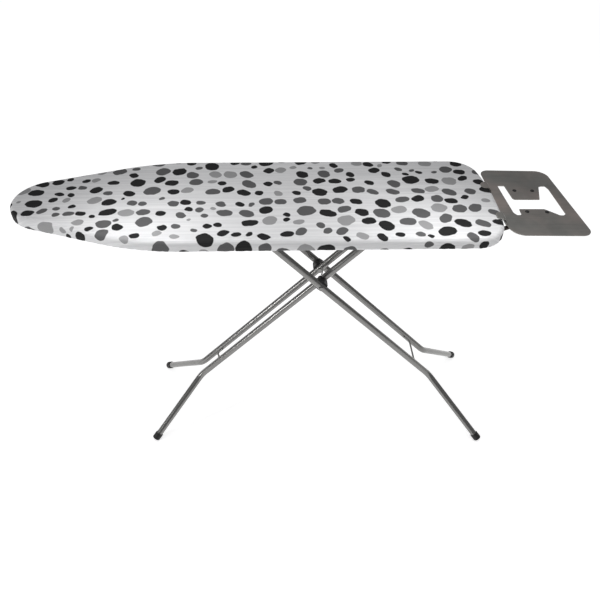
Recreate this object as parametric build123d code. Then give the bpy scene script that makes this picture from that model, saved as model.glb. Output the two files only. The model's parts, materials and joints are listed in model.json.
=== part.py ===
from build123d import *
import os
from math import sin, cos, tan, radians, degrees, asin, atan, atan2, sqrt, pi

# Folding ironing board, about 1.1 m long, on scissor legs of round steel
# tube, with an iron rest on the heel end.  Millimetres, +Z up.
# X runs from the pointed nose (-X) to the heel and iron rest (+X).
# Every dimension below is in board coordinates (X = 0 at mid-board);
# each finished piece is moved by SHIFT_X so that the origin is the centre
# of the whole object's footprint box, on the floor.

# ---------------------------------------------------------------- driving dimensions
NOSE_X = -547.0          # tip of the nose, outside of the cover
HEEL_X = 549.0           # end of the heel, outside of the cover
HALF_W = 169.0           # half width of the covered board
TAPER_DEG = 19.5         # angle of the straight taper towards the nose
SIDE_X0 = -148.0         # where the straight side starts to curve in
R_SIDE = 550.0           # radius from the side into the taper
R_CORNER = 68.0          # heel corner radius
R_HEEL = 700.0           # slight bow of the heel end

Z_TOP = 726.5            # top of the cover
COVER_T = 1.8            # cover cloth with its thin backing
Z_HEM = 699.0            # lowest edge of the cover
HEM_IN = 36.0            # how far the hem returns under the board
COVER_R = 10.0           # rounding of the covered edge
PAD_IN, PAD_Z0, PAD_Z1 = 3.5, 718.6, 724.2
MESH_Z0, MESH_Z1 = 717.2, 718.4
RIM_IN0, RIM_IN1 = 5.0, 17.0
RIM_Z0, RIM_Z1, RIM_T = 701.0, 717.2, 1.5

THETA = 46.4             # leg angle to the floor as set up
PIV_X, PIV_Z = 154.6, 498.0   # scissor pivot
HINGE_Z = 677.0          # height of the fixed top axle and of the sliding bar
TUBE_R, TUBE_T = 9.0, 1.2
Y_IN = 24.0              # inner leg frame, tube centre
Y_OUT = 48.0             # outer leg frame, tube centre
S_END = 681.0            # pivot to the outer end of the foot cap, along the leg
A_BEND, A_FLARE = 468.0, 29.0     # outer frame: bend position and flare angle
B_BEND, B_FLARE = 483.0, 30.75    # inner frame
BEND_R = 60.0
CAP_R, CAP_L = 11.0, 20.0

AXLE_R = 5.0
RUN = 0.05               # radial running clearance
FIT = 0.03               # radial gap of riveted and pressed fits
PIN_R = 4.0              # scissor pivot rivet
RIB_X = [-400.0, -215.0, -60.0, 100.0, 325.1, 480.0]
RIB_W, RIB_Z0 = 20.0, 707.2

RAIL_X0, RAIL_X1 = -228.0, 112.0
RAIL_Y = 78.0            # inner face of the rail's web
ROLLER_R = 6.0

LEVER_X, LEVER_Z = -215.0, 690.0  # pivot of the height catch

# iron rest plate, corners in order back-left, back-right, front-right, front-left
REST_TILT = 1.2          # droop of the plate's outer end, degrees
REST_X0, REST_Z = 551.5, 714.0
REST_T = 1.5

# ---------------------------------------------------------------- derived
TH = radians(THETA)
L_UP = (HINGE_Z - PIV_Z) / sin(TH)
HX = PIV_X + L_UP * cos(TH)          # fixed axle
BX = PIV_X - L_UP * cos(TH)          # sliding bar
REST_X1 = 731.0                      # outer corner of the iron rest before rounding
REST_END = 730.06                    # its outermost point once rounded and drooped
SHIFT_X = -0.5 * (NOSE_X + REST_END)

os.makedirs("parts", exist_ok=True)
NODES = {}


def put(name, shape):
    shape = shape.moved(Location((SHIFT_X, 0, 0)))
    NODES[name] = shape
    export_step(shape, "parts/%s.step" % name)


def group(*shapes):
    out = []
    for s in shapes:
        out += list(s.solids())
    return Compound(out)


def box(x0, x1, y0, y1, z0, z1):
    return Pos((x0 + x1) / 2, (y0 + y1) / 2, (z0 + z1) / 2) * Box(abs(x1 - x0), abs(y1 - y0), abs(z1 - z0))


def cyl_y(x, z, r, y0, y1):
    return Pos(x, (y0 + y1) / 2, z) * Rot(90, 0, 0) * Cylinder(r, abs(y1 - y0))


def cyl_z(x, y, r, z0, z1):
    return Pos(x, y, (z0 + z1) / 2) * Cylinder(r, abs(z1 - z0))


# ---------------------------------------------------------------- board outline
A0 = radians(TAPER_DEG)
c1 = (SIDE_X0, HALF_W - R_SIDE)
p_end = (c1[0] - R_SIDE * sin(A0), c1[1] + R_SIDE * cos(A0))
nx, ny = -sin(A0), cos(A0)
R_NOSE = (nx * p_end[0] + ny * p_end[1] - nx * NOSE_X) / (1 + nx)
CN = (NOSE_X + R_NOSE, 0.0)
CH = (HEEL_X - R_HEEL, 0.0)
cy = HALF_W - R_CORNER
CC = (CH[0] + sqrt((R_HEEL - R_CORNER) ** 2 - cy ** 2), cy)
A_H = atan2(cy, CC[0] - CH[0])


def pt(c, r, a):
    return (c[0] + r * cos(a), c[1] + r * sin(a))


def mir(p):
    return (p[0], -p[1])


def outline_edges(o):
    """Board outline moved inwards by o: straight sides, tapered round nose,
    rounded heel.  Every arc keeps its centre, so it is a true parallel."""
    rs, rn, rc, rh = R_SIDE - o, R_NOSE - o, R_CORNER - o, R_HEEL - o
    h90 = pi / 2
    a1 = pt(c1, rs, h90)
    a2 = pt(c1, rs, h90 + A0 / 2)
    a3 = pt(c1, rs, h90 + A0)
    n1 = pt(CN, rn, h90 + A0)
    n2 = pt(CN, rn, pi)
    k1 = pt(CC, rc, h90)
    k2 = pt(CC, rc, (h90 + A_H) / 2)
    k3 = pt(CC, rc, A_H)
    h2 = pt(CH, rh, 0)
    return [
        Line(k1, a1), ThreePointArc(a1, a2, a3), Line(a3, n1),
        ThreePointArc(n1, n2, mir(n1)),
        Line(mir(n1), mir(a3)), ThreePointArc(mir(a3), mir(a2), mir(a1)),
        Line(mir(a1), mir(k1)), ThreePointArc(mir(k1), mir(k2), mir(k3)),
        ThreePointArc(mir(k3), h2, k3), ThreePointArc(k3, k2, k1),
    ]


def outline_face(o):
    w = Wire(outline_edges(o))
    f = Face(w)
    return f if f.normal_at().Z > 0 else -f


def slab(o, z0, z1):
    return Pos(0, 0, z0) * extrude(outline_face(o), amount=z1 - z0, dir=(0, 0, 1))


def top_round(s, r, z):
    e = s.edges().filter_by(lambda e: abs(e.center().Z - z) < 1e-4)
    return fillet(e, r)


def half_width(x, o):
    """Half width of the outline, moved in by o, at station x."""
    if x < p_end[0]:
        t1 = pt(CN, R_NOSE, pi / 2 + A0)
        if x > t1[0]:
            y = p_end[1] + tan(A0) * (x - p_end[0])
            return y - o / cos(A0)
        return sqrt(max(0.0, (R_NOSE - o) ** 2 - (x - CN[0]) ** 2))
    if x < SIDE_X0:
        return c1[1] + sqrt((R_SIDE - o) ** 2 - (x - c1[0]) ** 2)
    if x < CC[0]:
        return HALF_W - o
    return CC[1] + sqrt(max(0.0, (R_CORNER - o) ** 2 - (x - CC[0]) ** 2))


# ---------------------------------------------------------------- soft parts
cover = top_round(slab(0, Z_HEM, Z_TOP), COVER_R, Z_TOP)
cavity = top_round(slab(COVER_T, Z_HEM + COVER_T, Z_TOP - COVER_T), COVER_R - COVER_T, Z_TOP - COVER_T)
cover = cover - cavity - slab(HEM_IN, Z_HEM - 5, Z_HEM + 5)
put("cover", cover)

pad = top_round(slab(PAD_IN, PAD_Z0, PAD_Z1), 5.5, PAD_Z1)
put("felt_pad", pad)

hem_r = 1.4
hem_w = Wire(outline_edges(HEM_IN - 1.8)).moved(Location((0, 0, Z_HEM + COVER_T + hem_r + 0.05)))
hem = sweep(Plane(origin=hem_w @ 0, z_dir=hem_w % 0) * Circle(hem_r), path=hem_w)
put("hem_elastic", hem)

# ---------------------------------------------------------------- steel top
# expanded-metal top: staggered diamond openings inside a plain border
mesh_f = outline_face(RIM_IN0)
holes = []
PX, PY, DX, DY = 44.0, 26.0, 17.0, 8.0
i = 0
x = NOSE_X + 40
while x < HEEL_X - 34:
    off = 0.0 if i % 2 == 0 else PY / 2
    for j in range(-6, 7):
        y = j * PY + off
        lim = min(half_width(x - DX, 24.0), half_width(x + DX, 24.0))
        if abs(y) + DY < lim:
            holes.append((x, y))
    x += PX / 2
    i += 1
inner = [Wire.make_polygon([(hx - DX, hy, 0), (hx, hy - DY, 0), (hx + DX, hy, 0), (hx, hy + DY, 0)], close=True)
         for hx, hy in holes]
mesh_face = mesh_f.make_holes(inner)
mesh_top = Pos(0, 0, MESH_Z0) * extrude(mesh_face, amount=MESH_Z1 - MESH_Z0, dir=(0, 0, 1))
put("mesh_top", mesh_top)
print("mesh openings", len(holes))

# rim: steel channel, open below, all round under the edge of the mesh
rim = (slab(RIM_IN0, RIM_Z0, RIM_Z1) - slab(RIM_IN1, RIM_Z0 - 1, RIM_Z1 + 1)
       - (slab(RIM_IN0 + RIM_T, RIM_Z0 - 1, RIM_Z1 - RIM_T) - slab(RIM_IN1 - RIM_T, RIM_Z0 - 2, RIM_Z1)))
put("rim_frame", rim)

inside = slab(RIM_IN1, RIM_Z0 - 1, RIM_Z1 + 1)

# ---------------------------------------------------------------- leg geometry
dA = (cos(TH), 0, -sin(TH))
dB = (-cos(TH), 0, -sin(TH))
PLA = Plane(origin=(PIV_X, 0, PIV_Z), x_dir=dA, z_dir=(sin(TH), 0, cos(TH)))      # local y = +Y
PLB = Plane(origin=(PIV_X, 0, PIV_Z), x_dir=dB, z_dir=(sin(TH), 0, -cos(TH)))     # local y = +Y
TOP_OVER = 12.0


def leg_path(y0, sb, flare, s1, side):
    y1 = y0 + tan(radians(flare)) * (s1 - sb)
    return FilletPolyline((-L_UP - TOP_OVER, side * y0, 0), (sb, side * y0, 0), (s1, side * y1, 0), radius=BEND_R), y1


def leg_tube(y0, sb, flare, side):
    s1 = S_END - 3.0 * cos(radians(flare))
    path, y1 = leg_path(y0, sb, flare, s1, side)
    sec = Plane(origin=path @ 0, z_dir=path % 0) * Circle(TUBE_R)
    sec_i = Plane(origin=path @ 0, z_dir=path % 0) * Circle(TUBE_R - TUBE_T)
    return sweep(sec, path=path) - sweep(sec_i, path=path)


FLOOR_CUT = box(-1500, 1500, -500, 500, -200, 0)


def foot_cap(y0, sb, flare, side, plane):
    f = radians(flare)
    y1 = side * (y0 + tan(f) * (S_END - sb))
    d = (cos(f), side * sin(f), 0)
    start = (S_END - CAP_L * d[0], y1 - CAP_L * d[1], 0)
    pl = Plane(origin=start, z_dir=d)
    c = pl * (Pos(0, 0, CAP_L / 2) * Cylinder(CAP_R, CAP_L))
    far = c.edges().sort_by(lambda e: -(e.center().X * d[0] + e.center().Y * d[1]))[0]
    c = fillet([far], 4.0)
    c = c - pl * (Pos(0, 0, (CAP_L - 3.0) / 2 - 5) * Cylinder(TUBE_R + FIT, CAP_L - 3.0 + 10))
    c = plane.location * c
    return c - FLOOR_CUT


def hole_y(x, z, r):
    return cyl_y(x, z, r, -100, 100)


pivot_b = hole_y(PIV_X, PIV_Z, PIN_R + FIT)
pivot_a = hole_y(PIV_X, PIV_Z, PIN_R + RUN)

for side, nm in ((-1, "front"), (1, "back")):
    t = PLB.location * leg_tube(Y_IN, B_BEND, B_FLARE, side)
    put("inner_leg_%s" % nm, t - pivot_b - hole_y(HX, HINGE_Z, AXLE_R + FIT))
    t = PLA.location * leg_tube(Y_OUT, A_BEND, A_FLARE, side)
    put("outer_leg_%s" % nm, t - pivot_a - hole_y(BX, HINGE_Z, AXLE_R + FIT))
    put("inner_foot_%s" % nm, foot_cap(Y_IN, B_BEND, B_FLARE, side, PLB))
    put("outer_foot_%s" % nm, foot_cap(Y_OUT, A_BEND, A_FLARE, side, PLA))


def wire_piece(pts, r, fr):
    p = FilletPolyline(*pts, radius=fr)
    return sweep(Plane(origin=p @ 0, z_dir=p % 0) * Circle(r), path=p)


# cross braces of 5 mm wire, their ends laid along the tubes and welded
ya = Y_OUT - TUBE_R - 2.5
put("outer_brace", PLA.location * wire_piece([(374, ya, 0), (400, ya, 0), (400, -ya, 0), (426, -ya, 0)], 2.5, 9.0))
yb = Y_IN - TUBE_R - 2.5
put("inner_brace", PLB.location * wire_piece([(392, yb, 0), (415, yb, 0), (402, -yb, 0), (425, -yb, 0)], 2.5, 6.0))
# thin bowed stay between the inner tubes, just above the pivot rivets
ys = Y_IN - TUBE_R
stay_p = ThreePointArc((-9, -ys - 0.3, -6), (-15, 0, -6), (-9, ys + 0.3, -6))
stay = sweep(Plane(origin=stay_p @ 0, z_dir=stay_p % 0) * Circle(1.5), path=stay_p)
stay = PLB.location * stay
for side, nm in ((-1, "front"), (1, "back")):
    stay = stay - PLB.location * (Pos(0, side * Y_IN, 0) * Rot(0, 90, 0) * Cylinder(TUBE_R + 0.02, 200))
put("inner_stay", stay)

# pivot rivets: domed head, shank, domed head; one on each side
riv = []
for side in (-1, 1):
    sh = cyl_y(PIV_X, PIV_Z, PIN_R, side * 13.0, side * 58.5)
    h1 = cyl_y(PIV_X, PIV_Z, 6.5, side * 12.6, side * 15.0)
    h2 = cyl_y(PIV_X, PIV_Z, 6.5, side * 57.3, side * 59.8)
    e2 = h2.edges().filter_by(GeomType.CIRCLE).sort_by(lambda e: -abs(e.center().Y))[0]
    h2 = fillet([e2], 1.6)
    riv.append(sh + h1 + h2)
put("pivot_rivets", group(*riv))


# pivot saddles: four-eared plastic washers that cradle the crossing tubes
def saddle(plane, y0, y1, r_hole, y_tube):
    pts = []
    for k in range(8):
        a = radians(45 * k)
        r = 17.0 if k % 2 else 13.5
        pts.append((r * cos(a), r * sin(a)))
    prof = make_face(Polyline(*pts, close=True))
    b = extrude(prof, amount=y1 - y0)
    b = fillet(b.edges().filter_by(Axis.Z), 1.6)
    b = Rot(-90, 0, 0) * b                      # extrusion now along +Y
    bb = b.bounding_box()
    b = Pos(0, y0 - bb.min.Y, 0) * b
    b = plane.location * b
    tube = plane.location * (Pos(0, y_tube, 0) * Rot(0, 90, 0) * Cylinder(TUBE_R + 0.05, 200))
    return b - tube - hole_y(PIV_X, PIV_Z, r_hole)


GAP = 0.15
ymid = (Y_IN + Y_OUT) / 2
ins, outs = [], []
for side in (-1, 1):
    ya0, ya1 = sorted((side * (Y_IN + 2.0), side * (ymid - GAP)))
    ins.append(saddle(PLB, ya0, ya1, PIN_R + FIT, side * Y_IN))
    yo0, yo1 = sorted((side * (ymid + GAP), side * (Y_OUT - 2.0)))
    outs.append(saddle(PLA, yo0, yo1, PIN_R + RUN, side * Y_OUT))
put("pivot_saddle_inner", group(*ins))
put("pivot_saddle_outer", group(*outs))

# ---------------------------------------------------------------- fixed axle and its brackets
put("top_axle", cyl_y(HX, HINGE_Z, AXLE_R, -49, 49))
caps = []
for side in (-1, 1):
    c = cyl_y(HX, HINGE_Z, 8.0, side * 45.5, side * 51.0) - cyl_y(HX, HINGE_Z, AXLE_R + FIT, side * 40.0, side * 49.05)
    e = c.edges().filter_by(GeomType.CIRCLE).sort_by(lambda e: -abs(e.center().Y) - e.radius * 0.01)[0]
    caps.append(fillet([e], 1.5))
put("axle_caps", group(*caps))

EAR_Y0, EAR_T = 41.0, 3.0
for side, nm in ((-1, "front"), (1, "back")):
    y0 = side * EAR_Y0
    y1 = side * (EAR_Y0 + EAR_T)
    ear = (cyl_y(HX, HINGE_Z, 9.5, y0, y1)
           + extrude(Plane(origin=(0, min(y0, y1), 0), x_dir=(1, 0, 0), z_dir=(0, -1, 0))
                     * make_face(Polyline((HX - 9.0, HINGE_Z), (HX + 9.0, HINGE_Z), (HX + 17, RIB_Z0), (HX - 17, RIB_Z0), close=True)),
                     amount=-EAR_T))
    fl = box(HX - 17, HX + 17, y0, side * 60, RIB_Z0 - EAR_T, RIB_Z0)
    b = ear + fl
    b = b - cyl_y(HX, HINGE_Z, AXLE_R + RUN, side * 30, side * 60) - cyl_z(HX, side * 52.5, 2.5 + FIT, RIB_Z0 - 10, RIB_Z0 + 10)
    put("hinge_bracket_%s" % nm, b)

# ---------------------------------------------------------------- sliding bar
put("slide_bar", cyl_y(BX, HINGE_Z, AXLE_R, -76.0, 76.0))
rol = []
for side in (-1, 1):
    r = cyl_y(BX, HINGE_Z, ROLLER_R, side * 63.0, side * 76.5) - cyl_y(BX, HINGE_Z, AXLE_R + FIT, side * 60.0, side * 76.05)
    rol.append(r)
put("slide_rollers", group(*rol))

# ---------------------------------------------------------------- rails
rivets_rail = []
for side, nm in ((-1, "front"), (1, "back")):
    def b(y0, y1, z0, z1):
        return box(RAIL_X0, RAIL_X1, side * y0, side * y1, z0, z1)
    r = (b(RAIL_Y, RAIL_Y + 1.8, 669.0, RIB_Z0) + b(RAIL_Y, RAIL_Y + 16, RIB_Z0 - 1.8, RIB_Z0)
         + b(66.0, RAIL_Y + 1.8, 669.0, 670.6) + b(66.0, RAIL_Y + 1.8, 683.5, 685.1))
    # end stops close the channel
    r = r + box(RAIL_X0, RAIL_X0 + 2, side * 66, side * (RAIL_Y + 1.8), 669.0, 685.1)
    r = r + box(RAIL_X1 - 2, RAIL_X1, side * 66, side * (RAIL_Y + 1.8), 669.0, 685.1)
    for x in (-215.0, -60.0, 100.0):
        r = r - cyl_z(x, side * 87.0, 2.5 + FIT, RIB_Z0 - 10, RIB_Z0 + 10)
        rv = (cyl_z(x, side * 87.0, 2.5, RIB_Z0 - 3.0, RIB_Z0 + 2.5)
              + cyl_z(x, side * 87.0, 4.5, RIB_Z0 - 3.8, RIB_Z0 - 1.8)
              + cyl_z(x, side * 87.0, 4.5, RIB_Z0 + 1.5, RIB_Z0 + 3.3))
        rivets_rail.append(rv)
    put("rail_%s" % nm, r)
put("rail_rivets", group(*rivets_rail))
bracket_riv = []
for side in (-1, 1):
    bracket_riv.append(cyl_z(HX, side * 52.5, 2.5, RIB_Z0 - 4.0, RIB_Z0 + 2.5)
                       + cyl_z(HX, side * 52.5, 4.5, RIB_Z0 - 5.0, RIB_Z0 - EAR_T)
                       + cyl_z(HX, side * 52.5, 4.5, RIB_Z0 + 1.5, RIB_Z0 + 3.3))
put("bracket_rivets", group(*bracket_riv))

# ---------------------------------------------------------------- cross ribs (channels open above)
for n, x in enumerate(RIB_X):
    r = box(x - RIB_W / 2, x + RIB_W / 2, -200, 200, RIB_Z0, RIM_Z1)
    r = r - box(x - RIB_W / 2 + 1.5, x + RIB_W / 2 - 1.5, -200, 200, RIB_Z0 + 1.5, RIM_Z1 + 1)
    r = r & inside
    if x in (-215.0, -60.0, 100.0):
        for side in (-1, 1):
            r = r - cyl_z(x, side * 87.0, 2.5 + FIT, RIB_Z0 - 10, RIB_Z0 + 10)
    if n == 4:
        for side in (-1, 1):
            r = r - cyl_z(HX, side * 52.5, 2.5 + FIT, RIB_Z0 - 10, RIB_Z0 + 10)
    put("cross_rib_%d" % (n + 1), r)

# ---------------------------------------------------------------- height catch and its lever
strip = box(LEVER_X - 8, 176, -2, 2, 682.7, 695.0)
strip = strip - cyl_y(LEVER_X, LEVER_Z, 2.5 + RUN, -5, 5) - cyl_y(168.0, 690.0, 3.5 + FIT, -5, 5)
# catch notches, one for each working height
for th in (60.0, 56.0, 51.5, 46.4, 41.0, 35.0, 28.0):
    xb = HX - 2 * L_UP * cos(radians(th))
    strip = strip - cyl_y(xb, 682.7, 5.8, -5, 5)
put("catch_strip", strip)
put("lever_rod", cyl_y(168.0, 690.0, 3.5, -126.0, 6.0))
grip = box(148, 188, -130, -84, 684.6, 695.4)
grip = fillet(grip.edges().filter_by(Axis.Y), 4.5)
grip = fillet(grip.edges().filter_by(lambda e: abs(e.center().Y + 130) < 0.01 or abs(e.center().Y + 84) < 0.01), 1.2)
grip = grip - cyl_y(168.0, 690.0, 3.5 + FIT, -126.05, -60.0)
put("release_grip", grip)
lb = (box(LEVER_X - 10, LEVER_X + 10, -12, 12, RIB_Z0 - 2, RIB_Z0)
      + box(LEVER_X - 7, LEVER_X + 7, 2.4, 4.4, 685.0, RIB_Z0)
      + box(LEVER_X - 7, LEVER_X + 7, -4.4, -2.4, 685.0, RIB_Z0))
lb = lb - cyl_y(LEVER_X, LEVER_Z, 2.5 + FIT, -9, 9)
put("lever_bracket", lb)
put("lever_pin", cyl_y(LEVER_X, LEVER_Z, 2.5, -6.0, 6.0))
# return spring: wire rings wound between the catch strip and rib 3
SPR_X, SPR_R, SPR_W = -60.0, 4.2, 0.6
z0, z1 = 695.0, RIB_Z0
hx_ = Helix(pitch=(z1 - z0 - 2 * SPR_W - 0.1) / 4.0, height=z1 - z0 - 2 * SPR_W - 0.1, radius=SPR_R, center=(SPR_X, 0, z0 + SPR_W + 0.05))
spr = sweep(Plane(origin=hx_ @ 0, z_dir=hx_ % 0) * Circle(SPR_W), path=hx_)
put("lever_spring", spr)

# ---------------------------------------------------------------- iron rest
PX0, PX1 = REST_X0, REST_X1


def poly_face(pts):
    return make_face(Polyline(*pts, close=True))


# plan of the plate; the outer end is slightly splayed
P = [(PX0, 138.0), (717.5, 137.0), (PX1 + 0.25, -139.0), (PX0, -139.5)]
plate = extrude(poly_face(P), amount=REST_T)
rad = [22.0, 30.0, 23.0, 32.0]
for (x, y), r in zip(P, rad):
    e = [e for e in plate.edges().filter_by(Axis.Z) if abs(e.center().X - x) < 0.5 and abs(e.center().Y - y) < 0.5]
    plate = fillet(e, r)
H = [(577.2, 65.0), (593.5, 66.2), (596.5, 3.4), (660.0, 4.2), (677.0, 61.5), (692.5, 67.5), (697.5, 51.0),
     (699.0, -55.5), (692.0, -61.2), (684.5, -61.2), (661.5, -40.2), (656.0, -36.2), (597.8, -37.0), (596.2, -60.2),
     (586.3, -62.2), (580.2, -52.0)]
HR = [3.0, 3.0, 7.0, 2.0, 4.0, 6.0, 8.0, 5.0, 2.5, 4.0, 3.0, 3.0, 2.0, 3.0, 3.0, 8.0]
hcut = extrude(poly_face(H), amount=10)
for (x, y), r in zip(H, HR):
    e = [e for e in hcut.edges().filter_by(Axis.Z) if abs(e.center().X - x) < 0.5 and abs(e.center().Y - y) < 0.5]
    if e:
        hcut = fillet(e, r)
plate = plate - Pos(0, 0, -5) * hcut
STUD = [(612.0, 42.5), (655.0, 42.5), (613.0, -47.5), (658.5, -49.0)]
for x, y in STUD:
    plate = plate - cyl_z(x, y, 2.5 + FIT, -5, 5)
# place: left edge at REST_X0, top face at REST_Z there, outer end drooping
REST_LOC = Location((REST_X0, 0, REST_Z)) * Location((0, 0, 0), (0, REST_TILT, 0)) * Location((-REST_X0, 0, -REST_T))
put("rest_plate", REST_LOC * plate)
studs = []
for x, y in STUD:
    s = cyl_z(x, y, 2.5, -1.5, REST_T + 0.6) + cyl_z(x, y, 4.6, REST_T, REST_T + 1.6) + cyl_z(x, y, 4.0, -1.6, 0)
    top = s.edges().filter_by(GeomType.CIRCLE).sort_by(lambda e: -e.center().Z)[0]
    s = fillet([top], 1.2)
    studs.append(REST_LOC * s)
put("rest_studs", group(*studs))

# hooks: bent tongues that reach from under the plate up and over the covered heel
hooks = []
for yc, w in ((43.0, 27.0), (-85.0, 27.0)):
    t = 1.8
    # section drawn as a closed strip in XZ
    pts = [(572.0, 709.6), (549.45, 709.6), (549.45, 720.6), (543.6, 726.8), (528.0, 726.8), (528.0, 726.8 + t),
           (544.37, 726.8 + t), (549.45 + t, 721.31), (549.45 + t, 709.6 + t), (572.0, 709.6 + t)]
    f = make_face(Polyline(*[(p[0], p[1]) for p in pts], close=True))
    s = extrude(f, amount=w)
    for (px, pz), r in (((549.45, 709.6), 1.5), ((544.37, 726.8 + t), 3.0), ((549.45 + t, 721.31), 3.0)):
        if r > 0:
            e = [e for e in s.edges().filter_by(Axis.Z) if abs(e.center().X - px) < 0.3 and abs(e.center().Y - pz) < 0.3]
            if e:
                s = fillet(e, r)
    # into place: sketch X stays X, sketch Y becomes Z, extrusion runs along -Y
    s = Rot(90, 0, 0) * s
    bb = s.bounding_box()
    s = Pos(0, yc - (bb.min.Y + bb.max.Y) / 2, 0) * s
    tip = [e for e in s.edges().filter_by(Axis.Z) if abs(e.center().X - 528.0) < 0.3]
    s = fillet(tip, 11.0)
    hooks.append(s)
put("rest_hooks", group(*hooks))

# support arms: round tube from under the board out beneath the plate
for side, nm in ((-1, "front"), (1, "back")):
    y = side * 86.0
    p = FilletPolyline((312, y, 693.3), (552, y, 693.3), (578, y, 704.6), (702, y, 702.4), radius=24.0)
    o = sweep(Plane(origin=p @ 0, z_dir=p % 0) * Circle(5.0), path=p)
    i2 = sweep(Plane(origin=p @ 0, z_dir=p % 0) * Circle(3.9), path=p)
    put("rest_arm_%s" % nm, o - i2)
clamps = []
for side in (-1, 1):
    for x in (325.1, 480.0):
        c = box(x - 8, x + 8, side * 86.0 - 9, side * 86.0 + 9, 686.5, RIB_Z0)
        c = fillet(c.edges().filter_by(lambda e: abs(e.center().Z - 686.5) < 0.01 and abs(e.center().X - x) < 0.01), 5.0)
        c = c - Pos(x, side * 86.0, 693.3) * Rot(0, 90, 0) * Cylinder(5.0 + FIT, 40)
        clamps.append(c)
put("arm_saddles", group(*clamps))

# ---------------------------------------------------------------- summary
print("nodes", len(NODES))
lo = [1e9] * 3
hi = [-1e9] * 3
for s in NODES.values():
    bb = s.bounding_box()
    for k, (a, c) in enumerate(zip((bb.min.X, bb.min.Y, bb.min.Z), (bb.max.X, bb.max.Y, bb.max.Z))):
        lo[k] = min(lo[k], a)
        hi[k] = max(hi[k], c)
print("box", [round(v, 2) for v in lo], [round(v, 2) for v in hi], "shift", SHIFT_X)
print("axle x", round(HX + SHIFT_X, 3), "bar x", round(BX + SHIFT_X, 3), "pivot x", round(PIV_X + SHIFT_X, 3), "upper arm", round(L_UP, 3))
print("nose radius", round(R_NOSE, 2))
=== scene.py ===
import json
import math

import bpy
import numpy as np
from mathutils import Matrix, Vector, geometry, noise


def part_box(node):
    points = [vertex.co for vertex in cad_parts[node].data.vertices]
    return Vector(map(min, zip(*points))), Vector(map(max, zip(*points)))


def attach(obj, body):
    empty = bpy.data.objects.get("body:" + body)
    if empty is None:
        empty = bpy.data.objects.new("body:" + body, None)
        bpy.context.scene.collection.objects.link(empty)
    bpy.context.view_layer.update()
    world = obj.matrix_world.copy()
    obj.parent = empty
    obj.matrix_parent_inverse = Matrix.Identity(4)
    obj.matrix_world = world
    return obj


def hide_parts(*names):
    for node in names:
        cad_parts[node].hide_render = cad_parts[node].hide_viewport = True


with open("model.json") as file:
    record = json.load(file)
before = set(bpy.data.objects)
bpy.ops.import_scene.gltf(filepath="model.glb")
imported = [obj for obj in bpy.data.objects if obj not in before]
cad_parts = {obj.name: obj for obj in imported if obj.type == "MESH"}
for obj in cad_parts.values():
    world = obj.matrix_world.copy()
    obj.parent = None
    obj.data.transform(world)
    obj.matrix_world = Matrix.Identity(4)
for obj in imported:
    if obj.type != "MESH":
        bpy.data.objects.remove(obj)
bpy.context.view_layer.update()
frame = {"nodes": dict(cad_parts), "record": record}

scene = bpy.context.scene
pi = math.pi

# ---------------------------------------------------------------- places, read from the frame
COVER_LO, COVER_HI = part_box("cover")
PAD_LO, PAD_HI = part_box("felt_pad")
RIM_LO, RIM_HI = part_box("rim_frame")
ELA_LO, ELA_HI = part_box("hem_elastic")
REST_LO, REST_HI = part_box("rest_plate")
SPR_LO, SPR_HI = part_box("lever_spring")
Z_TOP, Z_HEM = COVER_HI.z, COVER_LO.z

# board outline: straight sides, tapered round nose, rounded heel (metres, nose and heel from the frame)
NOSE, HEEL = COVER_LO.x, COVER_HI.x
HALF = (COVER_HI.y - COVER_LO.y) / 2
TAPER = math.radians(19.5)
SIDE_X0, R_SIDE, R_CORNER, R_HEEL = NOSE + 0.399, 0.550, 0.068, 0.700
C1 = np.array((SIDE_X0, HALF - R_SIDE))
PE = C1 + R_SIDE * np.array((-math.sin(TAPER), math.cos(TAPER)))
NN = np.array((-math.sin(TAPER), math.cos(TAPER)))
R_NOSE = (NN @ PE - NN[0] * NOSE) / (1 + NN[0])
CN = np.array((NOSE + R_NOSE, 0.0))
CH = np.array((HEEL - R_HEEL, 0.0))
CY = HALF - R_CORNER
CC = np.array((CH[0] + math.sqrt((R_HEEL - R_CORNER) ** 2 - CY ** 2), CY))
A_H = math.atan2(CY, CC[0] - CH[0])
MX = np.array((1.0, -1.0))


def arc(c, r, a0, a1, n):
    a = np.linspace(a0, a1, n, endpoint=False)
    nrm = np.stack((np.cos(a), np.sin(a)), 1)
    return c + r * nrm, nrm


def line(p, q, nrm, n):
    t = np.linspace(0, 1, n, endpoint=False)[:, None]
    return p + (q - p) * t, np.repeat(np.array(nrm)[None], n, 0)


def outline(step):
    """Points and outward normals round the board, anticlockwise from the back heel corner."""
    def count(length):
        return max(3, int(round(length / step)))
    h = pi / 2
    a1 = C1 + R_SIDE * np.array((0.0, 1.0))
    k1 = CC + R_CORNER * np.array((0.0, 1.0))
    n1 = CN + R_NOSE * NN
    seg = [
        line(k1, a1, (0, 1), count(abs(k1[0] - a1[0]))),
        arc(C1, R_SIDE, h, h + TAPER, count(R_SIDE * TAPER)),
        line(PE, n1, NN, count(np.linalg.norm(PE - n1))),
        arc(CN, R_NOSE, h + TAPER, 3 * h - TAPER, count(R_NOSE * (pi - 2 * TAPER) * 1.5)),
        line(n1 * MX, PE * MX, NN * MX, count(np.linalg.norm(PE - n1))),
        arc(C1 * MX, R_SIDE, -h - TAPER, -h, count(R_SIDE * TAPER)),
        line(a1 * MX, k1 * MX, (0, -1), count(abs(k1[0] - a1[0]))),
        arc(CC * MX, R_CORNER, -h, -A_H, count(R_CORNER * (h - A_H) * 1.5)),
        arc(CH, R_HEEL, -A_H, A_H, count(2 * R_HEEL * A_H)),
        arc(CC, R_CORNER, A_H, h, count(R_CORNER * (h - A_H) * 1.5)),
    ]
    return np.concatenate([s[0] for s in seg]), np.concatenate([s[1] for s in seg])


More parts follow.
